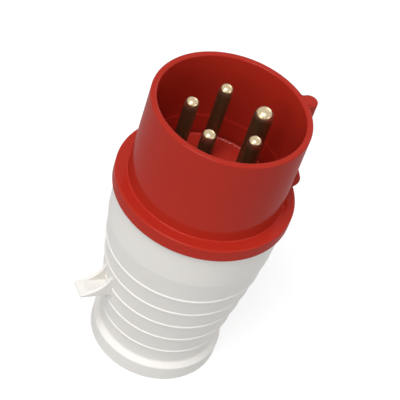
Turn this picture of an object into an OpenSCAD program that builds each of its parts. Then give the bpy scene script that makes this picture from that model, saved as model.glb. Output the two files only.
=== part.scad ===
// Industrial pin and sleeve plug, 16 A, three phases, neutral and earth.
// Z runs from the tail face (z = 0) to the rim of the shroud, the earth pin and
// its key lie towards -Y and the catch wing towards +Y.

/* [Shroud and flange] */
// Height of the flange's rear face above the tail face
grip_l = 78.5; // [72:0.5:84]
// Thickness of the flange
flange_t = 5.4; // [4:0.1:7]
// Length of the shroud in front of the flange
shroud_l = 36.1; // [33:0.1:40]
// Outside radius of the shroud
shroud_r = 28.25; // [27:0.05:30]
// Wall of the shroud at its rim
shroud_wall = 2.25; // [1.8:0.05:2.6]
// How much thicker the shroud's wall is below its inner step
shroud_step = 0.25; // [0.1:0.05:0.4]
// Depth of the inner step below the rim
step_depth = 28.5; // [20:0.5:32]
// How far the flange stands out past the housing's mouth
flange_lip = 1.3; // [0.8:0.1:2]
// Soft fillet between the flange and the shroud
flange_fillet = 2.6; // [1:0.1:3]
// Rounding of the moulded edges
edge_round = 0.6; // [0.3:0.1:0.8]

/* [Key and lug] */
// Width of the key on the shroud
key_w = 6; // [4:0.1:7]
// Height of the key above the shroud
key_h = 4.45; // [3:0.05:5]
// Angle from the key to the small guide lug beside it
lug_angle = -17; // [-26:1:-16]
// Width of the guide lug
lug_w = 3.5; // [2.5:0.1:4.5]
// Radius of the guide lug's half-round outline
lug_r = 4.3; // [3.5:0.1:5]
// How far the guide lug's centre lies below the shroud's outside
lug_sink = 0.3; // [0.1:0.05:0.8]
// Gap between the guide lug and the flange
lug_clear = 2.9; // [1:0.1:4]

/* [Contacts] */
// Radius of the circle that the five pins stand on
pitch_r = 13.45; // [13:0.05:13.8]
// Radius of a phase or neutral pin
pin_r = 2.5; // [2.4:0.05:2.6]
// Radius of the earth pin
earth_r = 3.5; // [3.4:0.05:3.6]
// Rounding of a pin's tip, as a share of its radius
tip_round = 0.85; // [0.6:0.05:0.95]
// Depth of the pin tips below the rim
tip_depth = 2.5; // [2:0.5:6]
// Radius of the collar that seats each pin in the carrier
pin_collar_r = 4.8; // [4.6:0.05:5]
// Thickness of the pin's collar
pin_collar_t = 2.4; // [1.8:0.1:3]
// How much thicker a pin is inside the carrier
shank_step = 0.3; // [0.2:0.05:0.5]
// Radius of the terminal barrel behind each pin
barrel_r = 4.2; // [4:0.05:4.5]
// Length of the terminal barrel behind the pin's collar
barrel_l = 21; // [19:0.5:23]
// Radius of the wire hole in a terminal
wire_r = 2; // [1.6:0.05:2.2]
// Depth of the wire hole in a terminal
wire_depth = 12; // [10:0.5:14]
// Radius of a terminal screw
screw_r = 1.75; // [1.5:0.05:1.9]

/* [Carrier] */
// Gap between the contact carrier's disc and the shroud
carrier_gap = 0.95; // [0.5:0.05:1.4]
// Height of the carrier's front face above the flange's front face
carrier_rise = 0.1; // [0:0.1:1]
// Width of the shoulder that the carrier's rear flange seats on
shoulder_w = 0.65; // [0.5:0.05:1]
// Thickness of the carrier's rear flange
carrier_flange_t = 3; // [2:0.1:4]
// Thickness of the carrier behind its front face
carrier_t = 13; // [12:0.5:14]
// Thickness of the cover plate behind the carrier
cover_t = 3.6; // [3:0.1:5]
// Thickness of the fins between the terminals
fin_t = 1.6; // [1.2:0.1:2.2]
// Thickness of the snap ring that holds the carrier
ring_t = 1.2; // [1:0.1:1.6]
// Width of the snap ring inside its groove
ring_w = 2.2; // [1.6:0.1:2.6]
// Depth of the snap ring's groove
ring_groove = 0.55; // [0.4:0.05:0.7]
// Radius of the hub round the cover screw
hub_r = 5.4; // [4.8:0.1:6]
// Height of the hub and fins behind the cover plate
fin_h = 9; // [7:0.5:11]
// Distance of the clamp's legs from the axis
leg_ring = 18.4; // [17.5:0.1:19]
// Radius of a clamp leg
leg_r = 2.6; // [2.2:0.1:3]

/* [Housing] */
// Gap between the housing's mouth and the flange
joint_gap = 0.3; // [0.2:0.05:0.5]
// Wall of the housing at its mouth
mouth_wall = 3.45; // [3.2:0.05:4]
// How much the housing narrows from its mouth to the start of the taper
crease_draw = 0.65; // [0.3:0.05:0.9]
// Height where the taper starts
crease_z = 62.8; // [58:0.1:64]
// Slope of the taper
taper_angle = 8.45; // [7.5:0.05:8.6]
// Height of the neck above the tail flare
neck_z = 11; // [10:0.1:13]
// Wall of the housing
housing_wall = 2.3; // [2:0.1:2.6]
// Number of grip ribs
rib_count = 5; // [3:1:5]
// Distance between grip ribs
rib_pitch = 9; // [7:0.1:9]
// Height of the lowest grip rib
rib_z = 16.1; // [15:0.1:17]
// Height of a grip rib above the taper
rib_h = 0.4; // [0.2:0.05:0.6]
// Width of a grip rib at its foot
rib_w = 1.3; // [1:0.1:2]
// Radius of the flared tail
tail_r = 25.3; // [25:0.1:26.5]
// Height of the flared tail's outer wall
tail_h = 6.8; // [5:0.1:7.2]
// Wall of the flared tail
tail_wall = 2.6; // [2:0.1:3]
// Slope of the flare's front
flare_angle = 40; // [30:1:50]
// Fillet between the neck and the flare
flare_fillet = 1.5; // [1:0.1:1.8]
// Draft of the flared tail's outer wall
tail_draft = 0.1; // [0.1:0.1:0.5]
// Thickness of the wall that carries the nozzle
bulkhead_t = 3; // [2:0.1:3.5]

/* [Catch wing] */
// Radius of the wing's tip
wing_tip_r = 38.2; // [36:0.1:40]
// Width of the wing
wing_w = 7.6; // [6:0.1:9]
// Height of the wing's rear face at the housing
wing_z = 30.2; // [29:0.1:30.4]
// Slope of the wing's rear face, rising to the tip
wing_slope = 4.7; // [2:0.1:7]
// Thickness of the wing at its tip
wing_tip_t = 0.9; // [0.7:0.1:1.6]
// Height of the wing where it leaves the housing
wing_root_h = 10.3; // [9:0.1:12]
// Reach of the ramp's bend from the housing
wing_bend = 3.2; // [2:0.1:4]
// Rise of the ramp's bend above the tip
wing_bend_h = 1.35; // [1:0.05:3]
// Thickness of the web between the wing's two cheeks
wing_web_t = 1.65; // [1.2:0.05:2.2]
// Thickness of a cheek
wing_cheek = 1.3; // [1:0.1:1.8]

/* [Bayonet] */
// Radial clearance of the collar's skirt in the housing
skirt_gap = 0.15; // [0.1:0.01:0.25]
// Wall of the collar's skirt
skirt_wall = 1.5; // [1.3:0.05:1.8]
// Length of the skirt behind the flange
skirt_l = 12.5; // [12:0.1:14]
// Number of bayonet lugs
lug_count = 3; // [2:1:4]
// Angle that one bayonet lug covers
bayonet_span = 24; // [18:1:26]
// Height of a bayonet lug above the skirt
bayonet_h = 1.3; // [1:0.05:1.4]
// Thickness of a bayonet lug along the axis
bayonet_t = 2.6; // [2:0.1:3]
// Height of the lugs above the skirt's rear edge
bayonet_rise = 1.6; // [1:0.1:2]
// Turn that frees the lugs
unlock_turn = 25; // [22:1:30]
// Clearance of a lug in its slot, as an angle
bayonet_play = 0.8; // [0.5:0.1:1.2]
// Wall between a lug's slot and the joint seal's groove
seal_land = 0.25; // [0.2:0.05:0.5]
// Distance of the joint seal from the housing's outside
seal_inset = 0.5; // [0.4:0.05:0.7]
// Depth of the joint seal's groove in the flange
seal_depth = 0.9; // [0.6:0.1:1.2]

/* [Cable entry] */
// Radius of the cable hole in the bush
cable_r = 7; // [5:0.1:7.5]
// Wall of the bush round the cable
bush_wall = 5.3; // [4.5:0.1:6]
// Thickness of the bush's outer flange
bush_flange_t = 1.2; // [1:0.1:2]
// How far the bush's lips stand over its waist
bush_lip = 1.8; // [1:0.1:2.2]
// Thickness of the bush's inner lip
bush_lip_t = 2; // [1.5:0.1:2.5]
// Slope cut off the bush's inner lip
bush_lead = 0.8; // [0.4:0.1:1.2]
// Wall of the nozzle that holds the bush
nozzle_wall = 2.2; // [1.8:0.1:2.6]
// Number of webs between the nozzle and the tail
web_count = 8; // [4:1:12]
// Thickness of a web
web_t = 1.8; // [1.4:0.1:2.4]

/* [Cable clamp] */
// Height of the clamp's rear face
clamp_z = 31; // [29:0.5:34]
// Length of the clamp along the cable
clamp_l = 9; // [8:0.5:11]
// Depth of each half of the clamp
clamp_depth = 9.6; // [9:0.1:10.5]
// Half the gap between the clamp's halves
clamp_half_gap = 0.8; // [0.5:0.1:1.5]
// Wall between the cable and a clamp screw
clamp_web = 2.85; // [2.2:0.05:3.2]
// Wall outside a clamp nut
clamp_side = 1.3; // [1:0.1:1.6]
// Radius of a clamp screw
clamp_screw_r = 1.75; // [1.5:0.05:1.9]
// Height of a clamp screw's head
clamp_head_h = 2.4; // [2:0.1:2.6]
// Half the width of a square nut
nut_half = 3.1; // [2.8:0.1:3.4]
// Thickness of a square nut
nut_t = 2.6; // [2:0.1:3]

/* [Small screws] */
// Radius of the cover screw
centre_screw_r = 2; // [1.75:0.05:2.2]
// Depth of the cover screw in the carrier
centre_depth = 7; // [5:0.5:9]
// Height of the cover screw's head
centre_head_h = 2.6; // [2.2:0.1:3]
// Height of a terminal screw's head
screw_head_h = 2.2; // [1.8:0.1:2.4]
// How far a terminal screw reaches into the wire hole
screw_reach = 0.6; // [0.3:0.1:1]
// Gap under a terminal screw's head
screw_lift = 0.5; // [0.2:0.1:0.8]
// Width of a screwdriver slot
slot_w = 0.9; // [0.7:0.1:1.1]
// Depth of a screwdriver slot
slot_depth = 1; // [0.7:0.1:1.2]

/* [Hidden] */
$fn = 72;
over = 1;
touch = 0.02;
fit_gap = 0.05;
seat_gap = 0.1;
earth_az = -90;
red = [0.78, 0.16, 0.12];
grey = [0.88, 0.87, 0.85];
nickel = [0.82, 0.8, 0.75];
black = [0.1, 0.1, 0.1];

// Heights of the collar, from the flange's rear face on
flange_rear = grip_l;
flange_front = flange_rear + flange_t;
rim_z = flange_front + shroud_l;
step_z = rim_z - step_depth;
tip_z = rim_z - tip_depth;
skirt_end = flange_rear - skirt_l;
bayonet_low = skirt_end + bayonet_rise;

// Radii, from the shroud outwards and inwards
rim_bore_r = shroud_r - shroud_wall;
root_bore_r = rim_bore_r - shroud_step;
carrier_r = root_bore_r - carrier_gap;
skirt_bore_r = root_bore_r + shoulder_w;
skirt_r = skirt_bore_r + skirt_wall;
housing_bore_r = skirt_r + skirt_gap;
slot_r = skirt_r + bayonet_h + 2 * skirt_gap;
mouth_r = housing_bore_r + mouth_wall;
flange_r = mouth_r + flange_lip;
crease_r = mouth_r - crease_draw;
seal_in = slot_r + seal_land;
seal_out = mouth_r - seal_inset;

// Bayonet slots in the housing
slot_low = bayonet_low - skirt_gap;
slot_high = bayonet_low + bayonet_t + skirt_gap;
slot_half = bayonet_span / 2 + bayonet_play;

// Carrier stack, from its front face back
carrier_front = flange_front + carrier_rise;
carrier_rear = carrier_front - carrier_t;
shoulder_z = carrier_rear + carrier_flange_t;
carrier_flange_r = skirt_bore_r - seat_gap;
cover_front = carrier_rear - touch;
cover_rear = cover_front - cover_t;
ring_front = carrier_rear - touch;
ring_rear = ring_front - ring_t;
ring_in = skirt_bore_r - ring_w;
cover_r = ring_in - 8 * seat_gap;
fin_rear = cover_rear - fin_h;
leg_az = earth_az + 108;
centre_head_r = 1.8 * centre_screw_r;

// Contacts
barrel_rear = carrier_rear - barrel_l;
screw_z = barrel_rear + wire_depth / 2;
screw_head_r = 1.6 * screw_r;

// Housing
mouth_z = flange_rear - joint_gap;
neck_r = crease_r - (crease_z - neck_z) * tan(taper_angle);
bulkhead_low = neck_z - bulkhead_t;
cavity_z = neck_z + (housing_bore_r + housing_wall - neck_r) / tan(taper_angle);

// Cable entry and clamp
bush_r = cable_r + bush_wall;
lip_r = bush_r + bush_lip;
nozzle_in = bush_r + seat_gap;
nozzle_out = nozzle_in + nozzle_wall;
nozzle_low = bush_flange_t + touch;
clamp_screw_x = cable_r + clamp_web + clamp_screw_r;
clamp_half_w = clamp_screw_x + nut_half + clamp_side;
clamp_head_r = 1.9 * clamp_screw_r;
clamp_mid_z = clamp_z + clamp_l / 2;
clamp_face = clamp_half_gap + clamp_depth;

function taper_r(z) = neck_r + (z - neck_z) * tan(taper_angle);
function arc(c, r, a, b, n = 6) = [for (i = [0:n]) let (t = a + (b - a) * i / n) c + r * [cos(t), sin(t)]];
function bezier(p, q, s, n = 8) = [
    for (i = [0:n]) let (t = i / n, u = 1 - t) u * u * p + 2 * t * u * q + t * t * s
];
function rib_points(z) = let (h = rib_w / 2, w = rib_w / 5) [
    [taper_r(z + h), z + h], [taper_r(z) + rib_h, z + w], [taper_r(z) + rib_h, z - w], [taper_r(z - h), z - h]
];
function wing_rear(r) = wing_z + (r - taper_r(wing_z)) * tan(wing_slope);

// A revolved outline of points given as radius and height
module turned(points) {
    rotate_extrude() polygon(points);
}

// A plain ring between two radii and two heights
module ring(inner, outer, low, high) {
    turned([[inner, low], [outer, low], [outer, high], [inner, high]]);
}

// A sector of such a ring between two angles
module sector(inner, outer, low, high, from, to) {
    rotate([0, 0, from]) rotate_extrude(angle = to - from)
        translate([inner, low]) square([outer - inner, high - low]);
}

// A drilled hole or a plain shaft along Z, from one height to another
module shaft(r, low, high) {
    translate([0, 0, low]) cylinder(r = r, h = high - low);
}

// An outline of radius and height, made into a plate of a given width that stands on the X axis
module radial_plate(width) {
    translate([0, width / 2, 0]) rotate([90, 0, 0]) linear_extrude(height = width) children();
}

// One of the five contact places, counted from the earth pin
module at_contact(i) {
    rotate([0, 0, earth_az + 72 * i]) translate([pitch_r, 0, 0]) children();
}

// Key along the shroud, with a round outer end
module key() {
    root = shroud_r - shroud_wall / 2;
    top = shroud_r + key_h - key_w / 2;
    rotate([0, 0, earth_az]) translate([0, 0, flange_front - over])
        linear_extrude(height = rim_z - flange_front + over) {
            translate([root, -key_w / 2]) square([top - root, key_w]);
            translate([top, 0]) circle(r = key_w / 2);
        }
}

// Half-round lug beside the key
module guide_lug() {
    root = lug_sink - shroud_wall / 2;
    rotate([0, 0, earth_az + lug_angle]) translate([shroud_r - lug_sink, 0, flange_front + lug_r + lug_clear])
        radial_plate(lug_w) intersection() {
            circle(r = lug_r);
            translate([root, -lug_r]) square([lug_r, 2 * lug_r]);
        }
}

module collar() {
    rim = arc([rim_bore_r + edge_round, rim_z - edge_round], edge_round, 180, 90, 4);
    rim_out = arc([shroud_r - edge_round, rim_z - edge_round], edge_round, 90, 0, 4);
    fillet = arc([shroud_r + flange_fillet, flange_front + flange_fillet], flange_fillet, 180, 270, 6);
    lip = arc([flange_r - edge_round, flange_front - edge_round], edge_round, 90, 0, 4);
    foot = arc([flange_r - edge_round, flange_rear + edge_round], edge_round, 0, -90, 4);
    seal_seat = [[seal_out + seat_gap, flange_rear], [seal_out + seat_gap, flange_rear + seal_depth],
        [seal_in - seat_gap, flange_rear + seal_depth], [seal_in - seat_gap, flange_rear]];
    skirt = [[skirt_r, flange_rear], [skirt_r, skirt_end], [skirt_bore_r, skirt_end]];
    seat = [[skirt_bore_r, shoulder_z], [root_bore_r, shoulder_z], [root_bore_r, step_z],
        [rim_bore_r, step_z + shroud_step]];
    color(red) difference() {
        union() {
            turned(concat(rim, rim_out, fillet, lip, foot, seal_seat, skirt, seat));
            key();
            guide_lug();
            for (i = [0:lug_count - 1]) let (middle = i * 360 / lug_count)
                sector(skirt_r - skirt_wall / 2, skirt_r + bayonet_h, bayonet_low, bayonet_low + bayonet_t,
                    middle - bayonet_span / 2, middle + bayonet_span / 2);
        }
        ring(skirt_bore_r - over, skirt_bore_r + ring_groove, ring_rear - touch, ring_front + touch);
    }
}

module joint_seal() {
    color(black) ring(seal_in, seal_out, mouth_z + touch, flange_rear + seal_depth - touch);
}

// Disc round the pins, with a rear flange that seats on the collar's shoulder
module contact_carrier() {
    seat_z = shoulder_z - touch;
    foot = [[0, carrier_rear], [carrier_flange_r, carrier_rear], [carrier_flange_r, seat_z],
        [carrier_r, seat_z]];
    disc = arc([carrier_r - edge_round, carrier_front - edge_round], edge_round, 0, 90, 4);
    color(red) difference() {
        turned(concat(foot, disc, [[0, carrier_front]]));
        for (i = [0:4]) at_contact(i) {
            shaft((i == 0 ? earth_r : pin_r) + shank_step + fit_gap, carrier_rear, carrier_front + over);
            shaft(pin_collar_r + fit_gap, carrier_rear - over, carrier_rear + pin_collar_t + touch);
        }
        shaft(centre_screw_r + fit_gap, carrier_rear - over, carrier_rear + centre_depth + fit_gap);
    }
}

module carrier_ring() {
    outer = skirt_bore_r + ring_groove - seat_gap;
    color(nickel) sector(ring_in, outer, ring_rear, ring_front, earth_az + 25, earth_az + 335);
}

// Rear cover with a fin between each two terminals, and the fixed half of the cable clamp on two legs
module carrier_cover() {
    nut_hole = nut_half + seat_gap;
    root_z = cover_rear + cover_t / 2;
    root_r = (centre_head_r + hub_r) / 2;
    color(grey) difference() {
        union() {
            shaft(cover_r, cover_rear, cover_front);
            shaft(hub_r, fin_rear, root_z);
            for (i = [0:4]) rotate([0, 0, earth_az + 36 + 72 * i]) radial_plate(fin_t)
                translate([root_r, fin_rear]) square([leg_ring - leg_r / 2 - root_r, root_z - fin_rear]);
            for (side = [0, 1]) mirror([side, 0, 0]) rotate([0, 0, leg_az]) translate([leg_ring, 0, 0])
                shaft(leg_r, clamp_mid_z, root_z);
            translate([-clamp_half_w, clamp_half_gap, clamp_z])
                cube([2 * clamp_half_w, clamp_depth, clamp_l]);
        }
        for (i = [0:4]) at_contact(i) shaft(barrel_r + seat_gap, barrel_rear, carrier_front);
        shaft(cable_r, clamp_z - over, clamp_z + clamp_l + over);
        shaft(centre_screw_r + seat_gap, fin_rear, cover_front + over);
        shaft(centre_head_r + seat_gap, fin_rear - over, cover_rear);
        for (side = [-1, 1]) translate([side * clamp_screw_x, 0, clamp_mid_z]) {
            rotate([-90, 0, 0]) shaft(clamp_screw_r + seat_gap, 0, clamp_face + over);
            translate([-nut_hole, clamp_face - nut_t, -nut_hole])
                cube([2 * nut_hole, nut_t + over, 2 * nut_hole]);
        }
    }
}

module cover_screw() {
    head = cover_rear - touch;
    color(nickel) difference() {
        union() {
            shaft(centre_head_r, head - centre_head_h, head);
            shaft(centre_screw_r, head - centre_head_h / 2, carrier_rear + centre_depth);
        }
        driver_slot(centre_head_r, head - centre_head_h, 1);
    }
}

// A screwdriver slot cut into a head whose face is at a height, towards +Z (1) or -Z (-1)
module driver_slot(r, face, into) {
    translate([-2 * r, -slot_w / 2, into > 0 ? face - over : face - slot_depth])
        cube([4 * r, slot_w, slot_depth + over]);
}

// A contact pin with its shank, collar and terminal barrel, on its own axis
module contact(r) {
    dome = tip_round * r;
    difference() {
        union() {
            turned(concat([[0, carrier_front - edge_round], [r, carrier_front - edge_round]],
                arc([r - dome, tip_z - dome], dome, 0, 90, 8), [[0, tip_z]]));
            shaft(r + shank_step, carrier_rear + pin_collar_t / 2, carrier_front);
            shaft(pin_collar_r, carrier_rear + touch, carrier_rear + pin_collar_t);
            shaft(barrel_r, barrel_rear, carrier_rear + pin_collar_t / 2);
        }
        shaft(wire_r, barrel_rear - over, barrel_rear + wire_depth);
        translate([0, 0, screw_z]) rotate([0, 90, 0]) shaft(screw_r + fit_gap, 0, barrel_r + over);
    }
}

// A slotted terminal screw, lying radially in its barrel
module terminal_screw() {
    under = barrel_r + screw_lift;
    translate([0, 0, screw_z]) rotate([0, 90, 0]) difference() {
        union() {
            shaft(screw_r, wire_r - screw_reach, under + screw_head_h / 2);
            shaft(screw_head_r, under, under + screw_head_h);
        }
        driver_slot(screw_head_r, under + screw_head_h, -1);
    }
}

module pin_earth() { color(nickel) at_contact(0) contact(earth_r); }
module pin_l1() { color(nickel) at_contact(1) contact(pin_r); }
module pin_l2() { color(nickel) at_contact(2) contact(pin_r); }
module pin_l3() { color(nickel) at_contact(3) contact(pin_r); }
module pin_neutral() { color(nickel) at_contact(4) contact(pin_r); }
module screw_earth() { color(nickel) at_contact(0) terminal_screw(); }
module screw_l1() { color(nickel) at_contact(1) terminal_screw(); }
module screw_l2() { color(nickel) at_contact(2) terminal_screw(); }
module screw_l3() { color(nickel) at_contact(3) terminal_screw(); }
module screw_neutral() { color(nickel) at_contact(4) terminal_screw(); }

// Catch wing: a thin web between two cheeks, whose concave ramps run out into its tip
module catch_wing() {
    root = taper_r(wing_z) - housing_wall / 2;
    end = wing_tip_r + over;
    top = wing_z + wing_root_h;
    tip_top = wing_rear(wing_tip_r) + wing_tip_t;
    ramp = bezier([wing_tip_r, tip_top], [taper_r(wing_z) + wing_bend, tip_top + wing_bend_h],
        [taper_r(top) - seat_gap, top]);
    rear = [[root, wing_rear(root)], [wing_tip_r, wing_rear(wing_tip_r)]];
    rotate([0, 0, earth_az + 180]) difference() {
        radial_plate(wing_w) polygon(concat(rear, ramp, [[root, top]]));
        radial_plate(wing_w - 2 * wing_cheek)
            polygon([[root, wing_rear(root) + wing_web_t], [end, wing_rear(end) + wing_web_t],
                [end, top + over], [root, top + over]]);
    }
}

// Grip with its mouth, ribs, flared tail and the nozzle for the bush
module housing() {
    mouth = arc([mouth_r - edge_round, mouth_z - edge_round], edge_round, 90, 0, 3);
    ribs = [for (i = [rib_count - 1:-1:0]) for (p = rib_points(rib_z + i * rib_pitch)) p];
    lip = arc([tail_r - edge_round, tail_h - edge_round], edge_round, 90 - flare_angle, 0, 4);
    root = arc([neck_r + flare_fillet, 0], flare_fillet, 180, 270 - flare_angle, 5);
    lift = lip[0][1] + (lip[0][0] - root[5][0]) * tan(flare_angle) - root[5][1];
    neck = [for (p = root) p + [0, lift]];
    foot = arc([tail_r - tail_draft - edge_round, edge_round], edge_round, 0, -90, 4);
    recess = [[tail_r - tail_wall, 0], [tail_r - tail_wall, bulkhead_low], [nozzle_out, bulkhead_low],
        [nozzle_out, nozzle_low], [nozzle_in, nozzle_low], [nozzle_in, neck_z]];
    cavity = [[neck_r - housing_wall, neck_z], [housing_bore_r, cavity_z], [housing_bore_r, mouth_z]];
    color(grey) difference() {
        union() {
            turned(concat(mouth, [[crease_r, crease_z]], ribs, [[neck_r, neck_z]], neck, lip, foot, recess,
                cavity));
            catch_wing();
            for (i = [0:web_count - 1]) rotate([0, 0, (i + 0.5) * 360 / web_count]) radial_plate(web_t)
                translate([nozzle_out - nozzle_wall / 2, 1.5 * nozzle_low])
                    square([tail_r - tail_wall - nozzle_out + nozzle_wall, bulkhead_low]);
        }
        for (i = [0:lug_count - 1]) let (locked = i * 360 / lug_count, free = locked + unlock_turn) {
            sector(housing_bore_r - over, slot_r, slot_low, slot_high, locked - slot_half, free);
            sector(housing_bore_r - over, slot_r + fit_gap, slot_low - fit_gap, mouth_z + over,
                free - slot_half, free + slot_half);
        }
    }
}

// Rubber bush whose waist sits in the nozzle between two lips
module cable_bush() {
    inner = neck_z + touch;
    color(black) turned([[cable_r, 0], [lip_r, 0], [lip_r, bush_flange_t], [bush_r, bush_flange_t],
        [bush_r, inner], [lip_r - bush_lead / 2, inner], [lip_r - bush_lead, inner + bush_lip_t],
        [cable_r, inner + bush_lip_t]]);
}

module clamp_saddle() {
    color(grey) difference() {
        translate([-clamp_half_w, -clamp_face, clamp_z]) cube([2 * clamp_half_w, clamp_depth, clamp_l]);
        shaft(cable_r, clamp_z - over, clamp_z + clamp_l + over);
        for (side = [-1, 1]) translate([side * clamp_screw_x, 0, clamp_mid_z])
            rotate([90, 0, 0]) shaft(clamp_screw_r + seat_gap, 0, clamp_face + over);
    }
}

// A clamp screw along Y, its head on the saddle and its end in the nut
module clamp_screw(side) {
    head = clamp_face + touch;
    color(nickel) translate([side * clamp_screw_x, 0, clamp_mid_z]) rotate([90, 0, 0]) difference() {
        union() {
            shaft(clamp_screw_r, screw_lift - clamp_face, head + clamp_head_h / 2);
            shaft(clamp_head_r, head, head + clamp_head_h);
        }
        driver_slot(clamp_head_r, head + clamp_head_h, -1);
    }
}

module clamp_nut(side) {
    color(nickel) translate([side * clamp_screw_x, 0, clamp_mid_z]) difference() {
        translate([-nut_half, clamp_face - nut_t + touch, -nut_half])
            cube([2 * nut_half, nut_t - touch, 2 * nut_half]);
        rotate([-90, 0, 0]) shaft(clamp_screw_r + fit_gap, 0, clamp_face + over);
    }
}

module clamp_screw_left() { clamp_screw(-1); }
module clamp_screw_right() { clamp_screw(1); }
module clamp_nut_left() { clamp_nut(-1); }
module clamp_nut_right() { clamp_nut(1); }

housing();
cable_bush();
collar();
joint_seal();
contact_carrier();
carrier_cover();
carrier_ring();
cover_screw();
pin_earth();
pin_l1();
pin_l2();
pin_l3();
pin_neutral();
screw_earth();
screw_l1();
screw_l2();
screw_l3();
screw_neutral();
clamp_saddle();
clamp_screw_left();
clamp_screw_right();
clamp_nut_left();
clamp_nut_right();
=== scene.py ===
"""Looks of an industrial pin and sleeve plug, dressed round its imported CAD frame.

The pieces follow in the order in which the plug is put together, each with its own mesh and material.
Lengths are written in millimetres, and a mesh gets them in metres.
"""
import math

import bmesh
import bpy
import numpy as np
from mathutils import Matrix, Vector


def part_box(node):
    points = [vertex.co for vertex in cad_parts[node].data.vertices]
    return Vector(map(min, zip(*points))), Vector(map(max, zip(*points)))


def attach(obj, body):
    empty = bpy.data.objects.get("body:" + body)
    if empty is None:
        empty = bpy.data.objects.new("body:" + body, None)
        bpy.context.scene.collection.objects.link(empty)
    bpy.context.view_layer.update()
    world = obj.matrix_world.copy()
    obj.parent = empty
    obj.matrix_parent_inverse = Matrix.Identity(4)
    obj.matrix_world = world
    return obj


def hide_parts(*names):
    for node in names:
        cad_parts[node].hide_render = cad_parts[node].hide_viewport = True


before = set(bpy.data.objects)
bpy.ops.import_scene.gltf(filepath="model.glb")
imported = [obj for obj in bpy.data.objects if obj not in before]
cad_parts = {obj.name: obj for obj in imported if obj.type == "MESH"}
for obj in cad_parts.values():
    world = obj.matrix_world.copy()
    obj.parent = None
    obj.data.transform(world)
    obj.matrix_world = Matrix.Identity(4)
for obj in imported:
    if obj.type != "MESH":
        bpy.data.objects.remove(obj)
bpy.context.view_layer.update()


# --- Camera ----------------------------------------------------------------------------------
# Looks down on the shroud's mouth from above the catch wing's side, rolled so that the plug leans to the
# right. A long lens keeps the perspective of a product shot.

scene = bpy.context.scene
MM = 0.001


def camera_matrix(aim, distance, azimuth, elevation, roll):
    """Place of a camera that looks at aim: its back axis is (sin a cos e, -cos a cos e, sin e), its level
    right axis is (cos a, sin a, 0), and right and up are then turned together by the roll."""
    a, e, r = np.radians([azimuth, elevation, roll])
    back = np.array([math.sin(a) * math.cos(e), -math.cos(a) * math.cos(e), math.sin(e)])
    level = np.array([math.cos(a), math.sin(a), 0.0])
    rise = np.cross(back, level)
    right = math.cos(r) * level - math.sin(r) * rise
    up = math.cos(r) * rise + math.sin(r) * level
    place = np.eye(4)
    place[:3, :3] = np.column_stack([right, up, back])
    place[:3, 3] = np.asarray(aim) + distance * back
    return Matrix(place.tolist())


camera = bpy.data.objects.new("camera", bpy.data.cameras.new("camera"))
camera.data.lens = 123.5
camera.data.sensor_width = 36.0
camera.data.clip_end = 10.0
camera.matrix_world = camera_matrix(aim=(7.7 * MM, -5.8 * MM, 64.9 * MM), distance=503.7 * MM,
                                    azimuth=234.23, elevation=43.94, roll=-19.9)
scene.collection.objects.link(camera)
scene.camera = camera


# --- Studio floor ----------------------------------------------------------------------------
# A seamless sheet of matt paper that the plug stands on. It is pale grey to the light and glows to the eye,
# in mirrors and through glass, so that it shows white and still keeps the plug's soft shadow.

def linear(code):
    """Turns an sRGB hex colour such as "#c83020" into linear red, green, blue and an alpha of 1."""
    srgb = np.array([int(code[i:i + 2], 16) for i in (1, 3, 5)]) / 255.0
    rgb = np.where(srgb <= 0.04045, srgb / 12.92, ((srgb + 0.055) / 1.055) ** 2.4)
    return (*rgb.tolist(), 1.0)


def add(tree, kind, settings=None, links=None):
    """Adds a node of a kind. Settings are values of its sockets or of its own properties, and links say
    which output feeds which of its sockets."""
    made = tree.nodes.new(kind)
    for name, value in (settings or {}).items():
        if isinstance(name, int) or name in made.inputs:
            made.inputs[name].default_value = value
        else:
            setattr(made, name, value)
    for name, output in (links or {}).items():
        tree.links.new(output, made.inputs[name])
    return made


def new_material(name):
    """An empty node material: (material, its tree, its output node)."""
    material = bpy.data.materials.new(name)
    material.use_nodes = True
    tree = material.node_tree
    tree.nodes.clear()
    return material, tree, tree.nodes.new("ShaderNodeOutputMaterial")


def when_seen(tree, strength):
    """Output that is the strength for camera, glossy and transmission rays, and 0 for the light that falls
    on the plug: strength x min(1, camera + glossy + transmission)."""
    path = add(tree, "ShaderNodeLightPath").outputs
    mirrored = add(tree, "ShaderNodeMath", {"operation": "ADD"},
                   {0: path["Is Camera Ray"], 1: path["Is Glossy Ray"]})
    seen = add(tree, "ShaderNodeMath", {"operation": "ADD", "use_clamp": True},
               {0: mirrored.outputs[0], 1: path["Is Transmission Ray"]})
    shown = add(tree, "ShaderNodeMath", {"operation": "MULTIPLY", 1: strength}, {0: seen.outputs[0]})
    return shown.outputs[0]


def mesh_object(name, vertices, faces, material, smooth=True):
    """A mesh object at the origin from vertices in millimetres and faces as rows of vertex numbers."""
    mesh = bpy.data.meshes.new(name)
    mesh.from_pydata((np.asarray(vertices) * MM).tolist(), [], np.asarray(faces).tolist())
    mesh.polygons.foreach_set("use_smooth", [smooth] * len(mesh.polygons))
    mesh.materials.append(material)
    made = bpy.data.objects.new(name, mesh)
    scene.collection.objects.link(made)
    return made


# Matt paper: no gloss at all, grey in the light and lifted to white where it is looked at.
paper, tree, output = new_material("matt paper")
sheet = add(tree, "ShaderNodeBsdfDiffuse", {"Color": linear("#a8a8a8")})
glow = add(tree, "ShaderNodeEmission", {"Color": (1, 1, 1, 1)}, {"Strength": when_seen(tree, 0.7)})
both = add(tree, "ShaderNodeAddShader", None, {0: sheet.outputs[0], 1: glow.outputs[0]})
tree.links.new(both.outputs[0], output.inputs["Surface"])

reach = 3000
floor = mesh_object("floor", [[-reach, -reach, 0], [reach, -reach, 0], [reach, reach, 0], [-reach, reach, 0]],
                    [[0, 1, 2, 3]], paper, smooth=False)


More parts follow.
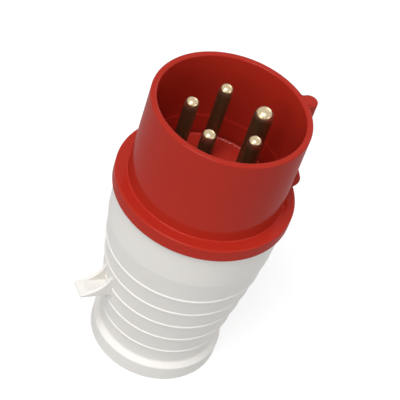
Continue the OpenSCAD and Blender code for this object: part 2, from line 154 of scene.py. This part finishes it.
# --- Studio light ----------------------------------------------------------------------------
# Four soft boxes in a pale room: a strong one overhead, one on the catch wing's side and two weak ones that
# fill the near sides. The room lights the plug at a plain level and is itself seen white.

def soft_box(name, place, width, height, power):
    """An area light of a width and height in metres at a place, turned to face the plug's middle."""
    lamp = bpy.data.lights.new(name, "AREA")
    lamp.shape = "RECTANGLE"
    lamp.size, lamp.size_y, lamp.energy = width, height, power
    made = bpy.data.objects.new(name, lamp)
    made.location = place
    made.rotation_euler = (Vector((0, 0, 60 * MM)) - Vector(place)).to_track_quat("-Z", "Y").to_euler()
    scene.collection.objects.link(made)


soft_box("overhead", (-0.25, 0.4, 1.0), 0.5, 0.5, 6.5)
soft_box("wing_side", (-0.35, 0.88, 0.38), 0.6, 0.6, 2.15)
soft_box("key_side", (-0.78, -0.52, 0.32), 0.45, 0.45, 1.1)
soft_box("lug_side", (0.5, -0.66, 0.48), 0.4, 0.4, 1.0)

world = bpy.data.worlds.new("pale room")
world.use_nodes = True
room = world.node_tree.nodes["Background"]
room.inputs["Color"].default_value = (1, 1, 1, 1)
ambient = 0.45
lifted = add(world.node_tree, "ShaderNodeMath", {"operation": "ADD", 1: ambient},
             {0: when_seen(world.node_tree, 1 - ambient)})
world.node_tree.links.new(lifted.outputs[0], room.inputs["Strength"])
scene.world = world
scene.view_settings.view_transform = "Standard"


# --- Housing ---------------------------------------------------------------------------------
# The grip: one moulding of light grey polyamide with a smooth mouth, five thin ribs on the taper, a flared
# tail and the catch wing. Its skin is satin, from a finely eroded mould.

def rounded_outline(corners, steps=6, support=0.12):
    """Closed outline through corners (x, y, radius), each rounded by a true arc. With a and b the unit
    vectors to the neighbours, the arc runs from p + a cut to p + b cut, where cut = radius / tan(half the
    angle), as a rational quadratic whose middle weight is sin(half the angle). A support point just
    outside each end of an arc keeps the flats flat when shaded smooth. Leading axes are kept, so that
    many outlines are rounded at once."""
    corners = np.asarray(corners, float)
    p, radius = corners[..., :2], corners[..., 2]
    to_last, to_next = np.roll(p, 1, -2) - p, np.roll(p, -1, -2) - p
    last_l, next_l = np.linalg.norm(to_last, axis=-1), np.linalg.norm(to_next, axis=-1)
    a, b = to_last / last_l[..., None], to_next / next_l[..., None]
    half = np.arccos(np.clip((a * b).sum(-1), -1, 1)) / 2
    cut = radius / np.tan(half)
    room_last = (last_l - cut - np.roll(cut, 1, -1)) / 3
    room_next = (next_l - cut - np.roll(cut, -1, -1)) / 3
    t = np.linspace(0, 1, steps + 1)[:, None]
    start, end = p + a * cut[..., None], p + b * cut[..., None]
    weight = 2 * t * (1 - t) * np.sin(half)[..., None, None]
    arc = (1 - t) ** 2 * start[..., None, :] + weight * p[..., None, :] + t ** 2 * end[..., None, :]
    arc /= (1 - t) ** 2 + weight + t ** 2
    before = start + a * np.clip(room_last, 0, support)[..., None]
    after = end + b * np.clip(room_next, 0, support)[..., None]
    outline = np.concatenate([before[..., None, :], arc, after[..., None, :]], -2)
    return outline.reshape(*outline.shape[:-3], -1, 2)


def loft(grid, close_rows=True, close_columns=True):
    """Vertices and quads of a surface through a grid of points (rows, columns, 3). Closed rows join the
    last point of a row to its first, and closed columns join the last row to the first."""
    rows, columns = grid.shape[:2]
    i = np.arange(rows if close_columns else rows - 1)[:, None]
    j = np.arange(columns if close_rows else columns - 1)[None, :]
    low, high = i * columns, (i + 1) % rows * columns
    faces = np.stack([low + j, low + (j + 1) % columns, high + (j + 1) % columns, high + j], -1)
    return grid.reshape(-1, 3), faces.reshape(-1, 4)


def turned(outline, sides=288, solid=False):
    """A body of revolution: each point (r, z) goes to (r cos t, r sin t, z). The outline is closed, or for
    a solid body an open line from the axis to the axis."""
    t = np.linspace(0, 2 * math.pi, sides, endpoint=False)[:, None]
    r, z = outline[None, :, 0], outline[None, :, 1]
    return loft(np.stack([r * np.cos(t), r * np.sin(t), z + 0 * t], -1), close_rows=not solid)


def about_axis(points, angle):
    """Turns points (radius r, sideways s, z) by an angle a in degrees round the plug's axis, to
    (r cos a - s sin a, r sin a + s cos a, z)."""
    a = math.radians(angle)
    r, s, z = points[..., 0], points[..., 1], points[..., 2]
    return np.stack([r * math.cos(a) - s * math.sin(a), r * math.sin(a) + s * math.cos(a), z], -1)


def capped(sections):
    """A surface through closed sections, whose two ends are drawn in to their middles."""
    first, last = (np.repeat(ring.mean(0)[None, None], sections.shape[1], 1) for ring in sections[[0, -1]])
    return loft(np.concatenate([first, sections, last]), close_columns=False)


def shell(name, skins, material):
    """One smooth object from several closed skins of vertices and quads. Points that coincide are merged,
    which closes poles and caps, and the normals are made to point outwards."""
    starts = np.cumsum([0] + [len(vertices) for vertices, faces in skins])
    vertices = np.concatenate([vertices for vertices, faces in skins])
    faces = np.concatenate([faces + start for (vertices, faces), start in zip(skins, starts)])
    made = mesh_object(name, vertices, faces, material)
    build = bmesh.new()
    build.from_mesh(made.data)
    bmesh.ops.remove_doubles(build, verts=build.verts, dist=1e-7)
    bmesh.ops.recalc_face_normals(build, faces=build.faces)
    build.to_mesh(made.data)
    build.free()
    return made


def stand_in(piece, node, body):
    """Lets a piece stand for a CAD node: it hides the node and rides on its body."""
    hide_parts(node)
    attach(piece, body)


def moulded_plastic(name, low_tone, end, tone_heights, roughness, gloss, skin_gloss=0.0, bump=0.012):
    """A moulded thermoplastic: its colour runs from one tone at the lower of two heights to the end tone at
    the higher, with faint clouds along the flow, and the fine erosion of the mould breaks up its gloss. On
    the red collar this run between heights is painted light and shade. Where only part of the skin is smooth,
    that part's gloss lies on top as a thin coat. The flow's clouds are some 14 mm wide.
    An eroded mould's grain is about 0.1 mm and is drawn at 0.35 mm, so that it shows."""
    flow, grain = 14.0, 0.35
    material, tree, output = new_material(name)
    place = add(tree, "ShaderNodeTexCoord").outputs["Object"]
    height = add(tree, "ShaderNodeSeparateXYZ", None, {0: place}).outputs["Z"]
    clouds = add(tree, "ShaderNodeTexNoise", {"Scale": 1 / (flow * MM), "Detail": 2.0}, {"Vector": place})
    # Colour run between two heights: on the red collar it is painted light and shade, lighter at the flange
    # and darker up the shroud.
    ran = add(tree, "ShaderNodeMapRange", {"From Min": tone_heights[0] * MM, "From Max": tone_heights[1] * MM},
              {"Value": height})
    drift = add(tree, "ShaderNodeMath", {"operation": "MULTIPLY_ADD", "use_clamp": True, 1: 0.3},
                {0: clouds.outputs["Fac"], 2: ran.outputs["Result"]})
    # The colours that a mix node joins are its inputs 6 and 7, and its output 2 gives the result.
    tone = add(tree, "ShaderNodeMix", {"data_type": "RGBA", 6: linear(low_tone), 7: linear(end)},
               {0: drift.outputs[0]})
    skin = add(tree, "ShaderNodeTexNoise", {"Scale": 1 / (grain * MM), "Detail": 3.0}, {"Vector": place})
    dull = add(tree, "ShaderNodeMapRange", {"To Min": roughness - 0.05, "To Max": roughness + 0.07},
               {"Value": skin.outputs["Fac"]})
    relief = add(tree, "ShaderNodeBump", {"Strength": 1.0, "Distance": bump * MM},
                 {"Height": skin.outputs["Fac"]})
    shader = add(tree, "ShaderNodeBsdfPrincipled",
                 {"IOR": 1.53, "Specular IOR Level": gloss, "Coat Weight": skin_gloss,
                  "Coat Roughness": 0.15},
                 {"Base Color": tone.outputs[2], "Roughness": dull.outputs["Result"],
                  "Normal": relief.outputs["Normal"]})
    tree.links.new(shader.outputs[0], output.inputs["Surface"])
    return material


# Light grey polyamide: warm off-white with a soft, wide sheen and hardly any mirror.
grey_plastic = moulded_plastic("light grey polyamide, moulded", "#efece7", "#ebe8e3", tone_heights=(0, 78),
                               roughness=0.45, gloss=0.35)

# Outline of the grip, from its box: the mouth on top, the taper with its ribs, the flare and the bores.
grip_high = np.array(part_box("housing")[1]) / MM
mouth_r, mouth_z = grip_high[0], grip_high[2]
slope = math.tan(math.radians(8.45))
crease_z, crease_r = 62.8, mouth_r - 0.65
neck_z = 11.0
neck_r = crease_r - (crease_z - neck_z) * slope
tail_r, tail_top, tail_foot, flare = 25.3, 6.8, 25.2, math.tan(math.radians(40))
bore_r, wall = 28.05, 2.3
nozzle_in, nozzle_out, nozzle_low, recess_r, bulkhead = 12.4, 14.6, 1.22, 22.7, 8.0
rib_h, rib_foot, rib_crest = 0.4, 0.65, 0.26
rib_z, rib_pitch, rib_count = 16.1, 9.0, 5


def taper(z):
    """Radius of the grip's taper at a height: a straight cone from the neck up."""
    return neck_r + (z - neck_z) * slope


rib_corners = [corner for z in rib_z + rib_pitch * np.arange(rib_count)[::-1] for corner in (
    [taper(z + rib_foot), z + rib_foot, 0.3], [taper(z) + rib_h, z + rib_crest, 0.15],
    [taper(z) + rib_h, z - rib_crest, 0.15], [taper(z - rib_foot), z - rib_foot, 0.3])]
grip_corners = [[bore_r, mouth_z, 0.2], [mouth_r, mouth_z, 0.6], [crease_r, crease_z, 6.0], *rib_corners,
                [neck_r, tail_top + (tail_r - neck_r) * flare, 1.5], [tail_r, tail_top, 0.6],
                [tail_foot, 0, 0.6], [recess_r, 0, 0.3], [recess_r, bulkhead, 0.8],
                [nozzle_out, bulkhead, 0.8], [nozzle_out, nozzle_low, 0.3], [nozzle_in, nozzle_low, 0.3],
                [nozzle_in, neck_z, 0.2], [neck_r - wall, neck_z, 0.5],
                [bore_r, neck_z + (bore_r + wall - neck_r) / slope, 3.0]]
grip_skin = turned(rounded_outline(grip_corners))

# The catch wing: two cheeks with a thinner web between them, and a rear face that rises towards the tip.
wing_tip, wing_half, cheek, web = grip_high[1], 3.8, 1.3, 1.65
wing_z, wing_top, wing_tip_t, wing_edge, wing_foot = 30.2, 40.5, 0.9, 0.25, 0.8
wing_rake, wing_sunk, bend_out, bend_up = math.tan(math.radians(4.7)), 1.2, 3.2, 1.35


def wing_sections():
    """Sections of the catch wing, upright outlines from inside the grip out to the tip. The cheeks' tops
    follow a quadratic curve from the taper down to the tip, the web between them keeps an even
    thickness, the last sections shrink by e (1 - cos t) for a soft tip, and near the grip the sides and
    the rear face flare by a quarter circle."""
    def rear(y):
        """Height of the wing's raked rear face at a distance from the axis: a straight slope."""
        return wing_z + (y - taper(wing_z)) * wing_rake

    t = np.linspace(0, 1, 48)[:, None]
    tip_top = rear(wing_tip) + wing_tip_t
    root = np.array([taper(wing_top) - 0.1, wing_top])
    bend = np.array([taper(wing_z) + bend_out, tip_top + bend_up])
    ramp = (1 - t) ** 2 * root + 2 * t * (1 - t) * bend + t ** 2 * np.array([wing_tip, tip_top])
    inner = np.column_stack([np.linspace(taper(wing_z) - wing_sunk, root[0], 12), np.full(12, wing_top)])
    y, top = np.concatenate([inner[:-1], ramp[:-1]]).T
    turn = np.linspace(0, math.pi / 2, 5)
    y = np.concatenate([y, wing_tip - wing_edge + wing_edge * np.sin(turn)])
    shrink = np.concatenate([np.zeros(len(top)), wing_edge * (1 - np.cos(turn))])
    top = np.concatenate([top, np.full(5, tip_top)]) - shrink
    low, half = rear(y) + shrink, wing_half - shrink
    pocket = np.maximum(top - low - web, 0.01)
    edge = half - cheek
    soft = np.minimum(0.35, 0.3 * (top - low))
    lip, fillet = np.minimum(0.3, 0.3 * pocket), np.minimum(0.5, 0.3 * pocket)
    corners = np.stack([np.stack(corner, -1) for corner in (
        (-half, low, soft), (half, low, soft), (half, top, soft), (edge, top, lip),
        (edge, top - pocket, fillet), (-edge, top - pocket, fillet), (-edge, top, lip),
        (-half, top, soft))], 1)
    x, z = np.moveaxis(rounded_outline(corners, steps=5, support=0.06), -1, 0)
    y = np.broadcast_to(y[:, None], x.shape)
    out = np.clip(np.hypot(x, y) - taper(z), 0, wing_foot)
    spread = wing_foot - np.sqrt(wing_foot ** 2 - (wing_foot - out) ** 2)
    outside = np.abs(x) > wing_half - 0.4
    beneath = z < rear(y) + 0.4
    return np.stack([x + np.sign(x) * spread * outside, y, z - spread * beneath], -1)


# Eight spokes stiffen the nozzle in the tail's recess, flat plates that stand upright round the axis.
spoke_low, spoke_in, spoke_out, spoke_top = 1.83, nozzle_out - 1, recess_r + 1, bulkhead + 0.5
spoke_faces, spoke_count = np.array([-0.9, -0.85, 0.85, 0.9])[:, None], 8
plate = rounded_outline([[spoke_in, spoke_low, 0.2], [spoke_out, spoke_low, 0.2],
                         [spoke_out, spoke_top, 0.2], [spoke_in, spoke_top, 0.2]], steps=2)
plate = np.stack(np.broadcast_arrays(plate[None, :, 0], spoke_faces, plate[None, :, 1]), -1)
spokes = [capped(about_axis(plate, (number + 0.5) * 360 / spoke_count)) for number in range(spoke_count)]
housing = shell("grip_housing", [grip_skin, capped(wing_sections()), *spokes], grey_plastic)
stand_in(housing, "housing", "rear_housing")


# --- Cable bush ------------------------------------------------------------------------------
# The bush that grips and seals the cable, moulded in black rubber. Its waist is snapped into the nozzle of
# the tail, between the lip outside and the thicker ring inside, and its bore is open for the cable.

# Black rubber: near-black and dull, with a faint grey bloom in patches.
rubber, tree, output = new_material("black rubber, moulded")
place = add(tree, "ShaderNodeTexCoord").outputs["Object"]
bloom = add(tree, "ShaderNodeTexNoise", {"Scale": 1 / (2.5 * MM), "Detail": 4.0}, {"Vector": place})
tone = add(tree, "ShaderNodeMix", {"data_type": "RGBA", 6: linear("#1d1d1d"), 7: linear("#2a2a29")},
           {0: bloom.outputs["Fac"]})
dull = add(tree, "ShaderNodeMapRange", {"To Min": 0.62, "To Max": 0.8}, {"Value": bloom.outputs["Fac"]})
shader = add(tree, "ShaderNodeBsdfPrincipled", {"IOR": 1.5},
             {"Base Color": tone.outputs[2], "Roughness": dull.outputs["Result"]})
tree.links.new(shader.outputs[0], output.inputs["Surface"])

cable_r, lip_r, lip_t, waist_r = 7.0, 14.1, 1.2, 12.3
ring_low, ring_top = neck_z + 0.02, neck_z + 2.02
bush_corners = [[cable_r, 0, 0.5], [lip_r, 0, 0.5], [lip_r, lip_t, 0.2], [waist_r, lip_t, 0.2],
                [waist_r, ring_low, 0.2], [lip_r - 0.4, ring_low, 0.3],
                [lip_r - 0.8, ring_top, 0.3], [cable_r, ring_top, 0.3]]
bush = shell("rubber_bush", [turned(rounded_outline(bush_corners))], rubber)
stand_in(bush, "cable_bush", "rear_housing")


# --- Collar ----------------------------------------------------------------------------------
# Shroud, flange, key, guide lug and bayonet skirt: one moulding of signal red polyamide. The skirt reaches
# into the grip's mouth, where three lugs hold it.

# Signal red polyamide: a deep saturated red, dull below a thin smooth skin that gives it a soft sheen. Its
# red is painted a little lighter at the flange and darker up the shroud and into the bore: painted light and
# shade.
red_plastic = moulded_plastic("signal red polyamide, moulded", "#b52d20", "#ac2a1d", tone_heights=(78, 110),
                              roughness=0.4, gloss=0.0, skin_gloss=0.2)

collar_low, collar_high = (np.array(corner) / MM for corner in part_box("collar"))
rim_z, skirt_z, flange_r = collar_high[2], collar_low[2], -collar_low[0]
flange_z, front_z, shoulder_z, step_z = 78.5, 83.9, 74.0, 91.5
shroud_r, rim_bore, root_bore, skirt_r, skirt_bore = 28.25, 26.0, 25.75, 27.9, 26.4
seal_out, seal_in, seal_z = 31.1, 29.65, flange_z + 0.9
edge, soft_edge = 0.6, 0.5
collar_corners = [[rim_bore, rim_z, edge], [shroud_r, rim_z, edge], [shroud_r, front_z, soft_edge],
                  [flange_r, front_z, edge], [flange_r, flange_z, soft_edge], [seal_out, flange_z, 0.1],
                  [seal_out, seal_z, 0.1], [seal_in, seal_z, 0.1], [seal_in, flange_z, 0.1],
                  [skirt_r, flange_z, 0.1], [skirt_r, skirt_z, 0.3], [skirt_bore, skirt_z, 0.3],
                  [skirt_bore, shoulder_z, 0.1], [root_bore, shoulder_z, 0.1],
                  [root_bore, step_z - 0.3, soft_edge], [rim_bore, step_z + 0.6, soft_edge]]
key_half, key_top, key_fillet, key_turn = 3.0, 32.7, 0.6, -90
lug_r, lug_half, lug_in, lug_x, lug_edge = 4.3, 1.75, 27.2, shroud_r - 0.3, 0.45
lug_z, lug_turn = front_z + 7.2, -107


def keyed_outline(around=280):
    """Cross-section of the shroud, seen along its axis with the key on +X: a circle, a fillet of radius f
    whose centre lies at (sqrt((R + f)^2 - (w + f)^2), w + f), the key's flat side and its half-round
    end, mirrored about X."""
    centre = math.sqrt((shroud_r + key_fillet) ** 2 - (key_half + key_fillet) ** 2)
    foot = math.atan2(key_half + key_fillet, centre)
    t = np.linspace(math.pi, foot, around // 2, endpoint=False)
    circle = shroud_r * np.stack([np.cos(t), np.sin(t)], -1)
    t = np.linspace(foot + math.pi, 1.5 * math.pi, 7)
    fillet = [centre, key_half + key_fillet] + key_fillet * np.stack([np.cos(t), np.sin(t)], -1)
    t = np.linspace(math.pi / 2, 0, 15)
    end = [key_top - key_half, 0] + key_half * np.stack([np.cos(t), np.sin(t)], -1)
    upper = np.concatenate([circle, fillet, end])
    return np.concatenate([upper, upper[-2:0:-1] * [1, -1]])


def collar_sections():
    """Rings of the collar, one for each point of its outline. A plain ring is a circle. Outside the
    shroud a ring is the keyed outline, moved inwards along its normals where the rim is rounded and
    pushed out to the fillet's and the flange's radius where that is larger."""
    outline = rounded_outline(collar_corners)
    keyed = keyed_outline()
    along = np.roll(keyed, -1, 0) - np.roll(keyed, 1, 0)
    normal = np.stack([-along[:, 1], along[:, 0]], -1) / np.linalg.norm(along, axis=1)[:, None]
    r, z = outline[:, 0, None, None], outline[:, 1]
    circle = r * keyed / np.linalg.norm(keyed, axis=1)[:, None]
    wrapped = keyed - np.maximum(shroud_r - r, 0) * normal
    wrapped = wrapped * np.maximum(1, r / np.linalg.norm(wrapped, axis=-1, keepdims=True))
    outside = (outline[:, 0] > shroud_r - 1.5 * edge) & (z > front_z - 1.5 * edge)
    ring = np.where(outside[:, None, None], wrapped, circle)
    return np.concatenate([ring, np.broadcast_to(z[:, None, None], ring.shape[:2] + (1,))], -1)


def lug_sections():
    """Sections of the guide lug across its width: half discs about a centre just inside the shroud, whose
    radius is drawn in by e (1 - sin t) towards both faces."""
    half_arc = math.acos((lug_in - lug_x) / lug_r)
    swing = np.linspace(-half_arc, half_arc, 48)[None, :]
    t = np.linspace(0, math.pi / 2, 6)
    side = lug_half - lug_edge + lug_edge * np.cos(t)
    drawn = lug_edge * (1 - np.sin(t))
    across = np.concatenate([[-lug_half], -side, side[::-1], [lug_half]])[:, None]
    radius = lug_r - np.concatenate([[lug_edge + 0.1], drawn, drawn[::-1], [lug_edge + 0.1]])[:, None]
    return np.stack([lug_x + radius * np.cos(swing), across + 0 * swing, lug_z + radius * np.sin(swing)], -1)


# Three bayonet lugs on the skirt, rounded blocks swept through a sector: each point (r, z) of the block's
# outline goes to (r cos t, r sin t, z).
hook_in, hook_out, hook_low, hook_top, hook_half = 27.2, 29.2, 67.6, 70.2, 12
block = rounded_outline([[hook_in, hook_low, 0.2], [hook_out, hook_low, 0.3],
                         [hook_out, hook_top, 0.3], [hook_in, hook_top, 0.2]], steps=3)
r, z = block[None, :, 0], block[None, :, 1]
hooks = []
for middle in (0, 120, 240):
    sweep = np.radians(np.linspace(middle - hook_half, middle + hook_half, 24))[:, None]
    hooks.append(capped(np.stack([r * np.cos(sweep), r * np.sin(sweep), z + 0 * sweep], -1)))
collar = shell("collar_moulding", [loft(about_axis(collar_sections(), key_turn)),
                                   capped(about_axis(lug_sections(), lug_turn)), *hooks], red_plastic)
stand_in(collar, "collar", "front_unit")


# --- Joint seal ------------------------------------------------------------------------------
# A flat ring, moulded in the same black rubber as the bush. It lies in the groove behind the flange, where
# the grip's mouth presses on it, and shows as a dark line at the joint.


def dress(node, material):
    """Gives a CAD node a material in place of its own."""
    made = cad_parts[node]
    made.data.materials.clear()
    made.data.materials.append(material)


dress("joint_seal", rubber)


# --- Contact carrier -------------------------------------------------------------------------
# The disc that holds the pins, a red polyamide moulding of its own with a fine raised lip round its front.
# It drops into the collar from behind and leaves a thin dark gap to the shroud.

carrier_low, carrier_high = (np.array(corner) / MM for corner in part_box("contact_carrier"))
carrier_front, carrier_rear, carrier_r = carrier_high[2], carrier_low[2], 24.8
carrier_flange, seat_z = carrier_high[0], shoulder_z - 0.02
lip_w, lip_h = 0.9, 0.35
face_z = carrier_front - lip_h
carrier_line = rounded_outline([[0, face_z, 0], [carrier_r - lip_w - 0.2, face_z, 0.2],
                                [carrier_r - lip_w, carrier_front, 0.25], [carrier_r, carrier_front, 0.35],
                                [carrier_r, seat_z, 0.1], [carrier_flange, seat_z, 0.2],
                                [carrier_flange, carrier_rear, 0.3], [0, carrier_rear, 0]])

# The red from a polished mould: a clear gloss, so that the disc and its lip mirror what stands round. Its
# colour is painted lighter than the shroud's red, painted light that brightens the disc down in the shaded
# bore.
polished_red_painted_lighter = moulded_plastic("signal red polyamide, polished mould, painted lighter", "#c4392c", "#ba3327", tone_heights=(70, 84),
                               roughness=0.16, gloss=0.5, bump=0.003)
carrier = shell("carrier_disc", [turned(carrier_line[1:-1], solid=True)], polished_red_painted_lighter)
stand_in(carrier, "contact_carrier", "front_unit")


# --- Carrier cover and clamp saddle ----------------------------------------------------------
# The cover traps the pins in the carrier and carries the fixed half of the cable clamp, and the saddle is
# the clamp's loose half. Both are moulded in the grip's grey polyamide and screwed on.

dress("carrier_cover", grey_plastic)
dress("clamp_saddle", grey_plastic)


# --- Pins ------------------------------------------------------------------------------------
# Four phase and neutral pins and the thicker earth pin, turned from brass and nickel plated, with domed
# tips in front and a barrel for the wire behind.

# Nickel plate over turned brass: polished at the tips and duller on the shafts, with fine rings from the
# lathe.
# Its colour is painted pale and warm at the tips, a painted highlight, and browner down the shafts, painted
# shade for the depth of the shroud. The real rings are about 0.1 mm apart and are drawn at 0.3 mm.
nickel, tree, output = new_material("nickel plated brass, turned")
place = add(tree, "ShaderNodeTexCoord").outputs["Object"]
squeeze = add(tree, "ShaderNodeMapping", {"Scale": (40, 40, 1 / (0.3 * MM))}, {"Vector": place})
turning = add(tree, "ShaderNodeTexNoise", {"Scale": 1.0, "Detail": 2.0}, {"Vector": squeeze.outputs[0]})
height = add(tree, "ShaderNodeSeparateXYZ", None, {0: place}).outputs["Z"]
polish = add(tree, "ShaderNodeMapRange",
             {"From Min": 113 * MM, "From Max": 116 * MM, "To Min": 0.36, "To Max": 0.2}, {"Value": height})
dull = add(tree, "ShaderNodeMath", {"operation": "MULTIPLY_ADD", 1: 0.1},
           {0: turning.outputs["Fac"], 2: polish.outputs["Result"]})
relief = add(tree, "ShaderNodeBump", {"Strength": 0.4, "Distance": 0.01 * MM},
             {"Height": turning.outputs["Fac"]})
# Painted highlight and shade by height: pale at the tips, darker brown down the shafts.
painted_tip_light = add(tree, "ShaderNodeMapRange", {"From Min": 113.5 * MM, "From Max": 115.3 * MM}, {"Value": height})
tone = add(tree, "ShaderNodeMix", {"data_type": "RGBA", 6: linear("#8a7b55"), 7: linear("#c9b694")},
           {0: painted_tip_light.outputs["Result"]})
shader = add(tree, "ShaderNodeBsdfPrincipled", {"Metallic": 0.95},
             {"Base Color": tone.outputs[2], "Roughness": dull.outputs[0],
              "Normal": relief.outputs["Normal"]})
tree.links.new(shader.outputs[0], output.inputs["Surface"])

pitch_r, shank_step, collar_r, barrel_r, wire_r = 13.45, 0.3, 4.8, 4.2, 2.0
shank_z, collar_z, barrel_z = carrier_front + 0.03, carrier_rear + 0.02, 50.0
collar_top, wire_z, drill_z = collar_z + 2.4, barrel_z + 12, barrel_z + 13
for place_number, pin in enumerate(("pin_earth", "pin_l1", "pin_l2", "pin_l3", "pin_neutral")):
    radius = 3.5 if pin == "pin_earth" else 2.5
    tip_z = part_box(pin)[1][2] / MM
    shank_r = radius + shank_step
    pin_line = rounded_outline([[0, tip_z, 0], [radius, tip_z, 0.85 * radius], [radius, shank_z, 0.05],
                                [shank_r, shank_z, 0.08], [shank_r, collar_top, 0.1],
                                [collar_r, collar_top, 0.2], [collar_r, collar_z, 0.2],
                                [barrel_r, collar_z, 0.1], [barrel_r, barrel_z, 0.3],
                                [wire_r, barrel_z, 0.2], [wire_r, wire_z, 0.1], [0, drill_z, 0]], steps=12)
    vertices, faces = turned(pin_line[1:-1], sides=96, solid=True)
    placed = about_axis(vertices + [pitch_r, 0, 0], key_turn + 72 * place_number)
    made = shell(pin + "_turned", [(placed, faces)], nickel)
    stand_in(made, pin, "front_unit")


# --- Screws, nuts and snap ring --------------------------------------------------------------
# Terminal screws, the cover's screw and its snap ring, and the clamp's screws and nuts: small steel parts
# under clear zinc plating.

# Zinc plated steel: cool light grey and satin, with faint patches, 0.8 mm across, from the plating bath.
zinc, tree, output = new_material("zinc plated steel")
place = add(tree, "ShaderNodeTexCoord").outputs["Object"]
patches = add(tree, "ShaderNodeTexNoise", {"Scale": 1 / (0.8 * MM), "Detail": 2.0}, {"Vector": place})
tone = add(tree, "ShaderNodeMix", {"data_type": "RGBA", 6: linear("#b9bec4"), 7: linear("#c9ccd0")},
           {0: patches.outputs["Fac"]})
dull = add(tree, "ShaderNodeMapRange", {"To Min": 0.28, "To Max": 0.42}, {"Value": patches.outputs["Fac"]})
shader = add(tree, "ShaderNodeBsdfPrincipled", {"Metallic": 1.0},
             {"Base Color": tone.outputs[2], "Roughness": dull.outputs["Result"]})
tree.links.new(shader.outputs[0], output.inputs["Surface"])
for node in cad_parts:
    if node.startswith(("screw_", "clamp_screw", "clamp_nut", "cover_screw", "carrier_ring")):
        dress(node, zinc)
